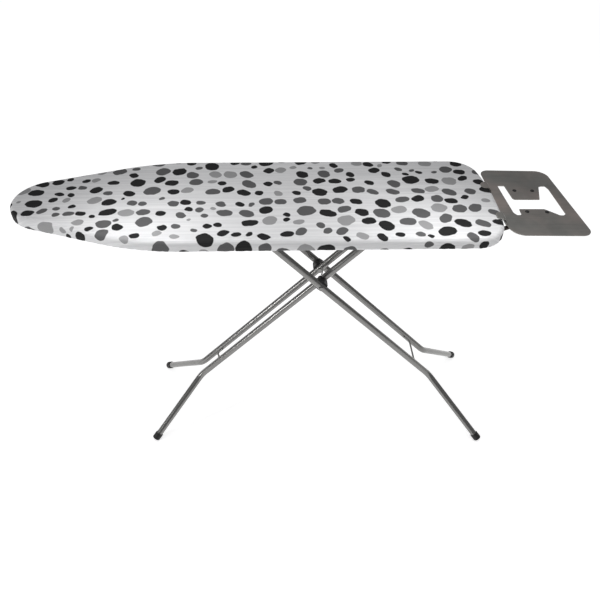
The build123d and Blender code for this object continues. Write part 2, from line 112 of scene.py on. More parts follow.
def hexes(inner, step):
    """Loose points inside a closed polygon, away from its edge."""
    lo, hi = inner.min(0), inner.max(0)
    pts, j, y = [], 0, lo[1] + step * 0.5
    nxt = np.roll(inner, -1, 0)
    edge = nxt - inner
    while y < hi[1]:
        x = lo[0] + (step * 0.5 if j % 2 else 0.0)
        while x < hi[0]:
            rel = np.array((x, y)) - inner
            cross = edge[:, 0] * rel[:, 1] - edge[:, 1] * rel[:, 0]
            if (cross / np.maximum(np.linalg.norm(edge, axis=1), 1e-9)).min() > step * 0.55:
                pts.append((x, y))
            x += step
        y += step * 0.866
        j += 1
    return pts


def new_object(name, verts, faces):
    me = bpy.data.meshes.new(name)
    me.from_pydata([tuple(v) for v in verts], [], [tuple(f) for f in faces])
    me.validate()
    me.update()
    o = bpy.data.objects.new(name, me)
    scene.collection.objects.link(o)
    return o


def smooth(o):
    o.data.polygons.foreach_set("use_smooth", [True] * len(o.data.polygons))
    o.data.update()


def get_co(me):
    co = np.empty(len(me.vertices) * 3)
    me.vertices.foreach_get("co", co)
    return co.reshape(-1, 3)


def set_co(me, co):
    me.vertices.foreach_set("co", np.asarray(co, float).ravel())
    me.update()


def shell(name, rows, step, caps=("top",), hex_step=0.009):
    """A skin made of rings round the board. rows are (inset, height, distance along the cloth from the outline).
    The first ring, and the last where caps says so, is closed with triangles."""
    P0, N0 = outline(step)
    n = len(P0)
    verts, flat, faces, row_of = [], [], [], []
    for k, (o, z, d) in enumerate(rows):
        ring = P0 - o * N0
        verts.append(np.column_stack((ring, np.full(n, z))))
        flat.append(P0 + d * N0)
        row_of += [k] * n
    verts, flat = np.concatenate(verts), np.concatenate(flat)
    i = np.arange(n)
    j = (i + 1) % n
    for k in range(len(rows) - 1):
        a = k * n
        faces += [tuple(q) for q in np.stack((a + i, a + n + i, a + n + j, a + j), 1).tolist()]
    extra_v, extra_f, extra_r = [], [], []
    for which in caps:
        k = 0 if which == "top" else len(rows) - 1
        ring = verts[k * n:(k + 1) * n]
        z = ring[0, 2]
        loose = hexes(ring[:, :2], hex_step)
        pts = [Vector(p[:2]) for p in ring] + [Vector(p) for p in loose]
        out = geometry.delaunay_2d_cdt(pts, [(a, (a + 1) % n) for a in range(n)], [], 1, 1e-7)
        index = []
        base = len(verts) + len(extra_v)
        for q, src in enumerate(out[3]):
            if src and src[0] < n:
                index.append(k * n + src[0])
            else:
                index.append(base)
                base += 1
                extra_v.append((out[0][q][0], out[0][q][1], z))
                extra_f.append((out[0][q][0], out[0][q][1]))
                extra_r.append(k)
        for f in out[2]:
            t = [index[q] for q in f]
            faces.append(tuple(t) if which == "top" else tuple(reversed(t)))
    if extra_v:
        verts = np.concatenate((verts, np.array(extra_v)))
        flat = np.concatenate((flat, np.array(extra_f)))
        row_of += extra_r
    o = new_object(name, verts, faces)
    at = o.data.attributes.new("cloth_cut", "FLOAT_VECTOR", "POINT")
    at.data.foreach_set("vector", np.column_stack((flat, np.zeros(len(flat)))).astype(np.float32).ravel())
    return o, n, np.array(row_of)


def fbm(p, octaves=3):
    v, a = 0.0, 1.0
    for _ in range(octaves):
        v += a * noise.noise(p)
        p = p * 2.03 + Vector((3.1, 7.7, 1.3))
        a *= 0.5
    return v


# ---------------------------------------------------------------- node material helpers
class Mat:
    def __init__(self, name):
        self.m = bpy.data.materials.new(name)
        self.m.use_nodes = True
        self.t = self.m.node_tree
        self.t.nodes.clear()
        self.out = self.t.nodes.new("ShaderNodeOutputMaterial")
        self.b = self.t.nodes.new("ShaderNodeBsdfPrincipled")
        self.t.links.new(self.b.outputs[0], self.out.inputs["Surface"])

    def n(self, kind, **props):
        node = self.t.nodes.new(kind)
        for k, v in props.items():
            setattr(node, k, v)
        return node

    def l(self, a, b):
        self.t.links.new(a, b)

    def put(self, sock, v):
        if isinstance(v, bpy.types.NodeSocket):
            self.l(v, sock)
        else:
            sock.default_value = v

    def math(self, op, a, b=0.0, c=None, clamp=False):
        x = self.n("ShaderNodeMath", operation=op, use_clamp=clamp)
        self.put(x.inputs[0], a)
        self.put(x.inputs[1], b)
        if c is not None:
            self.put(x.inputs[2], c)
        return x.outputs[0]

    def vmath(self, op, a, b=None, s=None):
        x = self.n("ShaderNodeVectorMath", operation=op)
        self.put(x.inputs[0], a)
        if b is not None:
            self.put(x.inputs[1], b)
        if s is not None:
            self.put(x.inputs["Scale"], s)
        return x.outputs["Value"] if op in ("LENGTH", "DOT_PRODUCT", "DISTANCE") else x.outputs["Vector"]

    def coord(self):
        return self.n("ShaderNodeTexCoord").outputs["Object"]

    def scaled(self, vec, xyz, move=(0, 0, 0)):
        x = self.n("ShaderNodeMapping")
        self.l(vec, x.inputs["Vector"])
        x.inputs["Scale"].default_value = xyz
        x.inputs["Location"].default_value = move
        return x.outputs[0]

    def noise(self, vec, scale, detail=3.0, rough=0.55, distort=0.0):
        x = self.n("ShaderNodeTexNoise")
        self.l(vec, x.inputs["Vector"])
        x.inputs["Scale"].default_value = scale
        x.inputs["Detail"].default_value = detail
        x.inputs["Roughness"].default_value = rough
        x.inputs["Distortion"].default_value = distort
        return x.outputs["Fac"]

    def voronoi(self, vec, scale, feature="F1", rand=1.0, dims="3D"):
        x = self.n("ShaderNodeTexVoronoi", feature=feature, voronoi_dimensions=dims)
        self.l(vec, x.inputs["Vector"])
        x.inputs["Scale"].default_value = scale
        x.inputs["Randomness"].default_value = rand
        return x

    def span(self, v, a, b, c, d, kind="LINEAR"):
        x = self.n("ShaderNodeMapRange", interpolation_type=kind)
        self.l(v, x.inputs["Value"])
        for s, q in zip(("From Min", "From Max", "To Min", "To Max"), (a, b, c, d)):
            self.put(x.inputs[s], q)
        return x.outputs["Result"]

    def mix(self, f, a, b, blend="MIX"):
        x = self.n("ShaderNodeMix", data_type="RGBA", blend_type=blend)
        self.put(x.inputs[0], f)
        self.put(x.inputs[6], a if not isinstance(a, tuple) else (*a, 1)[:4])
        self.put(x.inputs[7], b if not isinstance(b, tuple) else (*b, 1)[:4])
        return x.outputs[2]

    def bump(self, height, strength, dist, normal=None):
        x = self.n("ShaderNodeBump")
        x.inputs["Strength"].default_value = strength
        x.inputs["Distance"].default_value = dist
        self.l(height, x.inputs["Height"])
        if normal is not None:
            self.l(normal, x.inputs["Normal"])
        return x.outputs[0]

    def base(self, v):
        self.put(self.b.inputs["Base Color"], v if not isinstance(v, tuple) else (*v, 1)[:4])

    def set(self, **kw):
        for k, v in kw.items():
            self.put(self.b.inputs[k.replace("_", " ")], v)


def srgb(v):
    v /= 255.0
    return v / 12.92 if v <= 0.04045 else ((v + 0.055) / 1.055) ** 2.4


# ---------------------------------------------------------------- cloth: printed cotton cover
def cover_material():
    m = Mat("printed_cotton")
    at = m.n("ShaderNodeAttribute", attribute_name="cloth_cut")
    uv = at.outputs["Vector"]

    # the blots' edges wander a little
    w = m.n("ShaderNodeTexNoise")
    m.l(uv, w.inputs["Vector"])
    w.inputs["Scale"].default_value = 55.0
    w.inputs["Detail"].default_value = 1.0
    warp = m.vmath("SCALE", m.vmath("SUBTRACT", w.outputs["Color"], (0.5, 0.5, 0.5)), s=0.0075)
    p = m.vmath("ADD", uv, warp)

    def wanted(col, lo, hi, power):
        return m.math("ADD", lo, m.math("MULTIPLY", m.math("POWER", col.outputs[0], power), hi - lo))

    def blots(pos, cell, shift, rand, lo, hi, power):
        """One layer of printed blots: one rounded blot to a cell, each with its own size, stretch, lean and grey.
        Each stays inside the largest circle that its cell holds, so that no two touch."""
        q = m.vmath("ADD", pos, shift)
        v = m.voronoi(q, 1.0 / cell, "F1", rand, "2D")
        room = m.math("MULTIPLY", m.voronoi(q, 1.0 / cell, "N_SPHERE_RADIUS", rand, "2D").outputs["Radius"], cell)
        rel = m.vmath("SUBTRACT", q, v.outputs["Position"])
        col = m.n("ShaderNodeSeparateColor")
        m.l(v.outputs["Color"], col.inputs[0])
        a = m.math("MULTIPLY", m.math("SUBTRACT", col.outputs[1], 0.5), 2.2)
        c, s = m.math("COSINE", a), m.math("SINE", a)
        xyz = m.n("ShaderNodeSeparateXYZ")
        m.l(rel, xyz.inputs[0])
        x, y = xyz.outputs[0], xyz.outputs[1]
        u1 = m.math("ADD", m.math("MULTIPLY", x, c), m.math("MULTIPLY", y, s))
        v1 = m.math("SUBTRACT", m.math("MULTIPLY", y, c), m.math("MULTIPLY", x, s))
        thin = m.span(col.outputs[2], 0, 1, 1.05, 1.45)
        u1 = m.math("MULTIPLY", u1, m.math("POWER", thin, -0.5))
        v1 = m.math("MULTIPLY", v1, m.math("POWER", thin, 0.5))
        dist = m.math("POWER", m.math("ADD", m.math("POWER", m.math("ABSOLUTE", u1), 2.2), m.math("POWER", m.math("ABSOLUTE", v1), 2.2)), 1 / 2.2)
        most = m.math("DIVIDE", m.math("SUBTRACT", room, 0.0008), m.math("POWER", thin, 0.5))
        rad = m.math("MINIMUM", wanted(col, lo, hi, power), most)
        return q, v, dist, rad, col

    A_RAND, B_RAND = 0.64, 0.70
    A_CELL, A_SHIFT, A_SIZE = 0.0430, (7.31, 3.17, 0.0), (0.0090, 0.0270, 1.2)
    B_CELL, B_SHIFT, B_SIZE = 0.0285, (1.93, 9.71, 0.0), (0.0060, 0.0110, 1.0)
    qa, va, da, ra, ca = blots(p, A_CELL, A_SHIFT, A_RAND, *A_SIZE)
    # second layer: smaller blots, only where each one's centre is well clear of the first layer's blots
    qb, vb, db, rb, cb = blots(p, B_CELL, B_SHIFT, B_RAND, *B_SIZE)
    centre_b = m.vmath("ADD", m.vmath("SUBTRACT", vb.outputs["Position"], B_SHIFT), A_SHIFT)
    at_b = m.voronoi(centre_b, 1.0 / A_CELL, "F1", A_RAND, "2D")
    cab = m.n("ShaderNodeSeparateColor")
    m.l(at_b.outputs["Color"], cab.inputs[0])
    room_b = m.math("MULTIPLY", m.voronoi(centre_b, 1.0 / A_CELL, "N_SPHERE_RADIUS", A_RAND, "2D").outputs["Radius"], A_CELL)
    reach = m.math("MINIMUM", wanted(cab, *A_SIZE), room_b)
    gap = m.math("SUBTRACT", m.vmath("DISTANCE", centre_b, at_b.outputs["Position"]), m.math("MULTIPLY", reach, 1.08))
    clear = m.math("GREATER_THAN", m.math("SUBTRACT", gap, m.math("MULTIPLY", rb, 1.12)), 0.0035)
    edge = 0.00045

    def inside(dist, rad):
        return m.span(m.math("SUBTRACT", rad, dist), -edge, edge, 0.0, 1.0)

    ma = inside(da, ra)
    mb = m.math("MULTIPLY", inside(db, rb), clear)

    def shade(c):
        r = m.n("ShaderNodeValToRGB")
        r.color_ramp.interpolation = "CONSTANT"
        tone = m.math("FRACT", m.math("ADD", m.math("MULTIPLY", c.outputs[0], 7.13), m.math("MULTIPLY", c.outputs[2], 3.7)))
        m.l(tone, r.inputs[0])
        e = r.color_ramp.elements
        e[0].position, e[0].color = 0.0, (0.012, 0.012, 0.0125, 1)
        e[1].position, e[1].color = 0.40, (0.100, 0.100, 0.102, 1)
        x = e.new(0.72)
        x.color = (0.300, 0.300, 0.303, 1)
        return r.outputs[0]

    # the cloth itself: plain weave with slubs that run along the board
    slub = m.noise(m.scaled(uv, (5.0, 620.0, 1.0)), 1.0, 4.0, 0.62)
    slub2 = m.noise(m.scaled(uv, (14.0, 1500.0, 1.0), (3.0, 1.0, 0.0)), 1.0, 2.0, 0.6)
    lines = m.math("ADD", m.math("MULTIPLY", slub, 0.7), m.math("MULTIPLY", slub2, 0.3))
    streak = m.noise(m.scaled(uv, (2.2, 125.0, 1.0), (0.0, 4.0, 2.0)), 1.0, 4.0, 0.6)
    cloud = m.noise(uv, 7.0, 3.0, 0.5)
    sep = m.n("ShaderNodeSeparateXYZ")
    m.l(uv, sep.inputs[0])
    K = 2 * pi / 0.00115
    wx = m.math("SINE", m.math("MULTIPLY", sep.outputs[0], K))
    wy = m.math("SINE", m.math("MULTIPLY", sep.outputs[1], K))
    weave = m.math("MULTIPLY", wx, wy)
    white = m.mix(m.span(lines, 0.40, 0.62, 0.0, 1.0), (0.645, 0.647, 0.655), (0.845, 0.845, 0.845))
    white = m.mix(m.span(cloud, 0.3, 0.7, 0.0, 0.22), white, (0.70, 0.70, 0.705))
    white = m.mix(m.span(streak, 0.42, 0.62, 0.50, 0.0), white, (0.58, 0.58, 0.59))
    white = m.mix(m.span(weave, -1, 1, 0.10, 0.0), white, (0.50, 0.50, 0.51))
    # the print sits in the threads, so a little of the white weave shows through it
    thread = m.span(lines, 0.42, 0.74, 0.0, 0.03)
    ink_a = m.mix(thread, shade(ca), (0.5, 0.5, 0.5))
    ink_b = m.mix(thread, shade(cb), (0.5, 0.5, 0.5))
    col = m.mix(ma, white, ink_a)
    col = m.mix(mb, col, ink_b)
    m.base(col)
    m.set(Roughness=m.span(lines, 0.3, 0.7, 0.62, 0.80))
    m.set(Specular_IOR_Level=0.14, Sheen_Weight=0.02, Sheen_Roughness=0.4)
    h = m.math("ADD", m.math("ADD", lines, m.math("MULTIPLY", streak, 2.2)), m.math("MULTIPLY", weave, 0.10))
    n1 = m.bump(m.noise(m.scaled(uv, (1.0, 2.6, 1.0)), 26.0, 2.0, 0.5), 0.25, 0.0022)
    n2 = m.bump(h, 0.55, 0.00035, n1)
    m.set(Normal=n2)
    return m.m


def felt_material():
    m = Mat("grey_felt")
    c = m.coord()
    f = m.noise(c, 900.0, 4.0, 0.7, 0.6)
    g = m.noise(c, 70.0, 3.0, 0.6)
    k = m.mix(m.span(f, 0.35, 0.65, 0, 1), (0.23, 0.225, 0.215), (0.46, 0.45, 0.43))
    k = m.mix(m.span(g, 0.35, 0.65, 0, 0.5), k, (0.33, 0.32, 0.31))
    fleck = m.voronoi(c, 520.0, "F1", 1.0).outputs["Distance"]
    k = m.mix(m.span(fleck, 0.0, 0.22, 0.55, 0.0), k, (0.09, 0.09, 0.10))
    m.base(k)
    m.set(Roughness=m.span(f, 0.3, 0.7, 0.86, 0.98), Sheen_Weight=0.35, Sheen_Roughness=0.6, Specular_IOR_Level=0.2)
    m.set(Normal=m.bump(m.math("ADD", f, m.math("MULTIPLY", g, 0.7)), 0.7, 0.0012))
    return m.m


def elastic_material():
    m = Mat("braided_elastic")
    c = m.coord()
    s = m.n("ShaderNodeSeparateXYZ")
    m.l(c, s.inputs[0])
    d1 = m.math("SINE", m.math("MULTIPLY", m.math("ADD", s.outputs[0], s.outputs[1]), 2 * pi / 0.0016))
    d2 = m.math("SINE", m.math("MULTIPLY", m.math("SUBTRACT", s.outputs[0], s.outputs[1]), 2 * pi / 0.0016))
    b = m.math("MAXIMUM", d1, d2)
    f = m.noise(c, 600.0, 3.0, 0.6)
    m.base(m.mix(m.span(b, -1, 1, 0, 1), (0.48, 0.47, 0.46), m.mix(f, (0.78, 0.77, 0.76), (0.66, 0.65, 0.64))))
    m.set(Roughness=m.span(f, 0.3, 0.7, 0.7, 0.9), Normal=m.bump(m.math("ADD", b, f), 0.6, 0.0003))
    return m.m


# ---------------------------------------------------------------- metals and plastics
def painted_tube(name, base, flake, rough=0.34, metal=0.72, peel=0.25):
    """Silver paint on steel tube: fine flake, slight orange peel, a few rubbed and scuffed places."""
    m = Mat(name)
    c = m.coord()
    fl = m.voronoi(c, 2600.0, "F1", 1.0).outputs["Color"]
    fs = m.n("ShaderNodeSeparateColor")
    m.l(fl, fs.inputs[0])
    big = m.noise(c, 9.0, 3.0, 0.5)
    scuff = m.noise(m.scaled(c, (45, 45, 120)), 1.0, 6.0, 0.70)
    k = m.mix(m.span(fs.outputs[0], 0.0, 1.0, 0.0, 0.30), tuple(base), tuple(flake))
    k = m.mix(m.span(big, 0.35, 0.68, 0.0, 0.22), k, tuple(x * 0.75 for x in base))
    k = m.mix(m.span(scuff, 0.68, 0.76, 0.0, 0.35), k, tuple(min(1, x * 1.6) for x in base))
    m.base(k)
    r = m.math("ADD", m.span(big, 0.3, 0.7, rough - 0.03, rough + 0.05), m.span(scuff, 0.62, 0.76, 0.0, 0.12))
    m.set(Roughness=r, Metallic=metal)
    m.set(Coat_Weight=0.20, Coat_Roughness=0.15)
    pl = m.noise(c, 330.0, 2.0, 0.5)
    m.set(Normal=m.bump(pl, peel, 0.0003, m.bump(scuff, 0.06, 0.0003)))
    return m.m


def zinc_steel():
    m = Mat("zinc_plated_steel")
    c = m.coord()
    sp = m.voronoi(c, 260.0, "F1", 1.0)
    s = m.n("ShaderNodeSeparateColor")
    m.l(sp.outputs["Color"], s.inputs[0])
    f = m.noise(m.scaled(c, (900, 60, 900)), 1.0, 3.0, 0.6)
    dull = m.noise(c, 45.0, 4.0, 0.6)
    k = m.mix(s.outputs[0], (0.50, 0.51, 0.53), (0.62, 0.625, 0.63))
    k = m.mix(m.span(dull, 0.45, 0.7, 0, 0.5), k, (0.36, 0.355, 0.34))
    m.base(k)
    m.set(Metallic=1.0, Roughness=m.math("ADD", m.span(dull, 0.35, 0.7, 0.24, 0.42), m.span(f, 0.3, 0.7, -0.03, 0.05)))
    m.set(Normal=m.bump(f, 0.25, 0.0003))
    return m.m


def frame_steel():
    m = Mat("powder_coated_steel")
    c = m.coord()
    g = m.noise(c, 700.0, 3.0, 0.6)
    big = m.noise(c, 12.0, 4.0, 0.6)
    rub = m.noise(c, 90.0, 5.0, 0.7)
    k = m.mix(m.span(big, 0.35, 0.65, 0, 1), (0.33, 0.335, 0.34), (0.42, 0.42, 0.425))
    k = m.mix(m.span(rub, 0.64, 0.72, 0, 0.6), k, (0.20, 0.19, 0.18))
    m.base(k)
    m.set(Metallic=0.35, Roughness=m.span(g, 0.3, 0.7, 0.40, 0.58), Normal=m.bump(g, 0.35, 0.0004), Coat_Weight=0.1, Coat_Roughness=0.35)
    return m.m


def rest_steel():
    """Dark brown-grey rolled steel, brushed along the board, with lighter rubbed patches and lighter edges that are
    partly edge wear and partly a painted edge highlight.
    """
    m = Mat("brushed_dark_steel")
    c = m.coord()
    fine = m.noise(m.scaled(c, (16, 1900, 60)), 1.0, 4.0, 0.65)
    mid = m.noise(m.scaled(c, (7, 240, 20), (2, 5, 1)), 1.0, 3.0, 0.6)
    blot = m.noise(c, 16.0, 4.0, 0.62, 0.4)
    warm = m.noise(m.scaled(c, (1, 1, 1), (4, 2, 9)), 9.0, 3.0, 0.5)
    k = m.mix(m.span(warm, 0.38, 0.62, 0, 1), (0.235, 0.232, 0.216), (0.400, 0.335, 0.305))
    k = m.mix(m.span(blot, 0.36, 0.66, 0.0, 0.55), k, (0.165, 0.160, 0.150))
    k = m.mix(m.span(fine, 0.34, 0.68, 0.0, 0.30), k, (0.42, 0.41, 0.40))
    k = m.mix(m.span(mid, 0.5, 0.75, 0.0, 0.25), k, (0.13, 0.128, 0.125))
    # painted edge highlight, partly also edge wear: the colour turns lighter wherever the bevelled normal bends away
    # at an edge
    bv = m.n("ShaderNodeBevel", samples=4)
    bv.inputs["Radius"].default_value = 0.0016
    geo = m.n("ShaderNodeNewGeometry")
    edge = m.math("SUBTRACT", 1.0, m.vmath("DOT_PRODUCT", bv.outputs[0], geo.outputs["Normal"]), clamp=True)
    k = m.mix(m.span(edge, 0.02, 0.25, 0.0, 0.6), k, (0.52, 0.51, 0.49))
    m.base(k)
    m.set(Metallic=0.62)
    m.set(Roughness=m.math("ADD", m.span(fine, 0.3, 0.7, 0.30, 0.44), m.span(blot, 0.3, 0.7, -0.03, 0.07)))
    m.set(Anisotropic=0.45)
    m.set(Normal=m.bump(m.math("ADD", fine, m.math("MULTIPLY", mid, 0.5)), 0.22, 0.00025, bv.outputs[0]))
    return m.m


def black_steel():
    m = Mat("blackened_rivet_steel")
    c = m.coord()
    f = m.noise(c, 700.0, 4.0, 0.65)
    g = m.noise(c, 120.0, 3.0, 0.6)
    m.base(m.mix(m.span(f, 0.35, 0.7, 0, 1), (0.018, 0.014, 0.012), (0.055, 0.042, 0.036)))
    m.set(Metallic=0.6, Roughness=m.span(g, 0.3, 0.7, 0.32, 0.5), Normal=m.bump(f, 0.3, 0.0003))
    return m.m


def black_plastic(name, rough=0.42, grain=0.35):
    """Moulded black plastic: fine spark-eroded grain, dusty and rubbed places."""
    m = Mat(name)
    c = m.coord()
    g = m.voronoi(c, 1500.0, "F1", 1.0).outputs["Distance"]
    dust = m.noise(c, 55.0, 5.0, 0.65)
    rub = m.noise(c, 210.0, 3.0, 0.6)
    k = m.mix(m.span(dust, 0.42, 0.72, 0, 0.5), (0.008, 0.008, 0.0085), (0.026, 0.025, 0.024))
    k = m.mix(m.span(rub, 0.62, 0.74, 0, 0.25), k, (0.055, 0.054, 0.052))
    m.base(k)
    m.set(Roughness=m.math("ADD", m.span(dust, 0.35, 0.7, rough - 0.04, rough + 0.16), m.span(rub, 0.5, 0.7, 0.0, -0.05)))
    m.set(Specular_IOR_Level=0.45, Normal=m.bump(g, grain, 0.00035))
    return m.m


def spring_steel():
    m = Mat("music_wire")
    c = m.coord()
    f = m.noise(c, 900.0, 3.0, 0.6)
    d = m.noise(c, 150.0, 3.0, 0.6)
    m.base(m.mix(m.span(d, 0.4, 0.7, 0, 1), (0.44, 0.44, 0.45), (0.26, 0.24, 0.22)))
    m.set(Metallic=1.0, Roughness=m.span(f, 0.3, 0.7, 0.24, 0.40), Normal=m.bump(f, 0.2, 0.0002))
    return m.m


M = {
    "cover_fabric": cover_material(),
    "elastic": elastic_material(),
    "felt": felt_material(),
    "frame_steel": frame_steel(),
    "leg_tube": painted_tube("silver_grey_paint", (0.200, 0.197, 0.191), (0.36, 0.36, 0.35), 0.24, 0.80),
    "bright_steel": zinc_steel(),
    "foot_plastic": black_plastic("black_rubber_foot", 0.50, 0.5),
    "black_plastic": black_plastic("black_nylon", 0.38, 0.3),
    "rest_steel": rest_steel(),
    "black_steel": black_steel(),
}
WIRE = painted_tube("wire_paint", (0.26, 0.26, 0.25), (0.40, 0.40, 0.39), 0.38, 0.7, 0.15)
SPRING = spring_steel()

slots = {}
for sub in frame["record"].get("subparts", []):
    slots[sub["node"]] = sub.get("material_slot")
for name, o in frame["nodes"].items():
    mat = M.get(slots.get(name), M["frame_steel"])
    if name in ("inner_brace", "outer_brace", "inner_stay"):
        mat = WIRE
    if name == "lever_spring":
        mat = SPRING
    if name == "pivot_rivets":
        mat = M["leg_tube"]
    if not o.material_slots:
        o.data.materials.append(mat)
    for s in o.material_slots:
        s.material = mat

# ---------------------------------------------------------------- the cover
T = 0.0009                      # cloth and its thin foam backing
TM = T / 2
RT = 0.0100                     # rounding of the covered edge
RB = 0.0042                     # turn under the board


def cover_rows():
    rows = []
    for o in np.arange(0.058, RT, -0.0080):
        rows.append((o, Z_TOP - TM, -o + (RT - RT * pi / 2) * 0))
    d = -RT
    r = RT - TM
    for k in range(0, 8):
        a = k / 7 * pi / 2
        rows.append((RT - r * math.sin(a), Z_TOP - RT + r * math.cos(a), d + r * a))
    d += r * pi / 2
    z0, z1 = Z_TOP - RT, Z_HEM + RB + TM
    for k in range(1, 6):
        t = k / 6
        rows.append((TM, z0 + (z1 - z0) * t, d + (z0 - z1) * t))
    d += z0 - z1
    for k in range(0, 6):
        a = k / 5 * pi / 2
        rows.append((TM + RB * (1 - math.cos(a)), z1 - RB * math.sin(a), d + RB * a))
    d += RB * pi / 2
    o0 = TM + RB
    ela_o, ela_r = 0.0342, 0.0014 + TM + 0.0003
    o1 = ela_o - 0.0022
    for k in range(1, 10):
        t = k / 9
        rows.append((o0 + (o1 - o0) * t, Z_HEM + TM + 0.0002 * t, d + (o1 - o0) * t))
    d += o1 - o0
    zc = (ELA_LO.z + ELA_HI.z) / 2
    # up round the elastic and back, as a sewn tunnel
    prev = (rows[-1][0], rows[-1][1])
    path = []
    for k in range(1, 9):
        a = -pi / 2 + k / 8 * pi
        path.append((ela_o + (ela_r + 0.0004) * math.cos(a), zc + (ela_r + 0.0002) * math.sin(a)))
    path[0] = (ela_o + 0.0006, zc - ela_r - 0.0004)
    for k in range(1, 4):
        path.append((ela_o - 0.0026 * k, zc + ela_r + 0.0002 - 0.0009 * k))
    for q in path:
        d += math.hypot(q[0] - prev[0], q[1] - prev[1])
        rows.append((q[0], q[1], d))
        prev = q
    return rows


ROWS = cover_rows()
cover, N_RING, row_of = shell("cover_cloth", ROWS, 0.0040)
cover_co = get_co(cover.data)
cover.data.attributes["cloth_cut"].data.foreach_get("vector", (cut := np.empty(len(cover_co) * 3, np.float32)))
cut = cut.reshape(-1, 3)
row_arr = np.array([(r[0], r[1], r[2]) for r in ROWS])
inset = row_arr[row_of, 0]
# interior points sit further in than the first row
P0, N0 = outline(0.0040)
ring_n = np.zeros((len(cover_co), 3))
for k in range(len(ROWS)):
    ring_n[k * N_RING:(k + 1) * N_RING, :2] = N0
i_skirt = next(i for i, r in enumerate(ROWS) if r[0] == TM)
i_under = next(i for i, r in enumerate(ROWS) if r[0] > TM + RB + 1e-9 and r[1] < Z_HEM + 0.002)
arc_len = np.concatenate(([0], np.cumsum(np.linalg.norm(np.diff(np.vstack((P0, P0[:1])), axis=0), axis=1))))[:-1]
TOTAL = float(np.linalg.norm(np.diff(np.vstack((P0, P0[:1])), axis=0), axis=1).sum())
ring_pos = np.full(len(cover_co), -1.0)
for k in range(len(ROWS)):
    ring_pos[k * N_RING:(k + 1) * N_RING] = arc_len


# pleats round the hem: closer and deeper where the outline turns, as at the nose and the heel corners
curv = np.zeros(N_RING)
for i in range(N_RING):
    dn = N0[(i + 4) % N_RING] - N0[i - 4]
    dp = P0[(i + 4) % N_RING] - P0[i - 4]
    curv[i] = np.linalg.norm(dn) / max(np.linalg.norm(dp), 1e-9)
for _ in range(60):
    curv = (np.roll(curv, 1) + 2 * curv + np.roll(curv, -1)) / 4
CURV = curv / curv.max()
# phase of the pleats: about one to 26 mm on the long sides, one to 9 mm round the nose and corners
step_s = np.linalg.norm(np.roll(P0, -1, 0) - P0, axis=1)
rng = np.random.default_rng(11)
jit = rng.normal(0, 1, N_RING)
for _ in range(30):
    jit = (np.roll(jit, 1) + 2 * jit + np.roll(jit, -1)) / 4
jit /= jit.std()
rate = (1 / 0.024 + CURV * (1 / 0.0100 - 1 / 0.024)) * (1 + 0.28 * jit)
turns = (step_s * rate).sum()
rate *= round(turns) / turns
PHASE = np.concatenate(([0], np.cumsum(step_s * rate)))[:-1] * 2 * pi
amp_j = rng.normal(0, 1, N_RING)
for _ in range(50):
    amp_j = (np.roll(amp_j, 1) + 2 * amp_j + np.roll(amp_j, -1)) / 4
amp_j = 1 + 0.35 * amp_j / amp_j.std()
WAVE = (np.sin(PHASE) + 0.35 * np.sin(2 * PHASE + 1.7 * amp_j)) * np.clip(amp_j, 0.3, 1.8)

co = cover_co.copy()
for k in range(len(ROWS)):
    o, z, d = ROWS[k]
    sl = slice(k * N_RING, (k + 1) * N_RING)
    if k >= i_skirt:
        if k < i_under:
            # soft ripples that grow down the skirt
            t = (ROWS[i_skirt][1] - z) / (ROWS[i_skirt][1] - Z_HEM)
            a = 0.0002 + 0.00075 * t ** 1.5
            co[sl, :2] += (N0 * ((WAVE - 0.6) * a * (0.45 + 0.55 * CURV))[:, None])
        else:
            t = min(1.0, (o - ROWS[i_under][0]) / 0.026)
            tail = 1.0 if o < 0.0325 and z < Z_HEM + 0.003 else 0.55
            a = (0.0006 + 0.0016 * t) * tail * (0.45 + 0.75 * CURV)
            down = WAVE * a - a * 0.9
            if t < 0.55:
                down = np.minimum(down, 0.0003)
            co[sl, 2] += down
            co[sl, :2] += N0 * ((np.cos(PHASE) * 0.0006 * t * CURV)[:, None])
# the top lies on the felt: very slight quilting and slack along the board
for i in range(len(co)):
    if row_of[i] <= i_skirt:
        p = Vector((co[i, 0] * 7.0, co[i, 1] * 16.0, 1.7))
        q = Vector((co[i, 0] * 22.0, co[i, 1] * 60.0, 4.1))
        s = 0.00055 * (fbm(p, 2) - 0.35) + 0.00016 * noise.noise(q)
        if row_of[i] == 0 or ROWS[row_of[i]][0] > RT:
            co[i, 2] += min(s, 0.0)
        else:
            co[i, :2] += ring_n[i, :2] * min(s, 0.0)
set_co(cover.data, co)


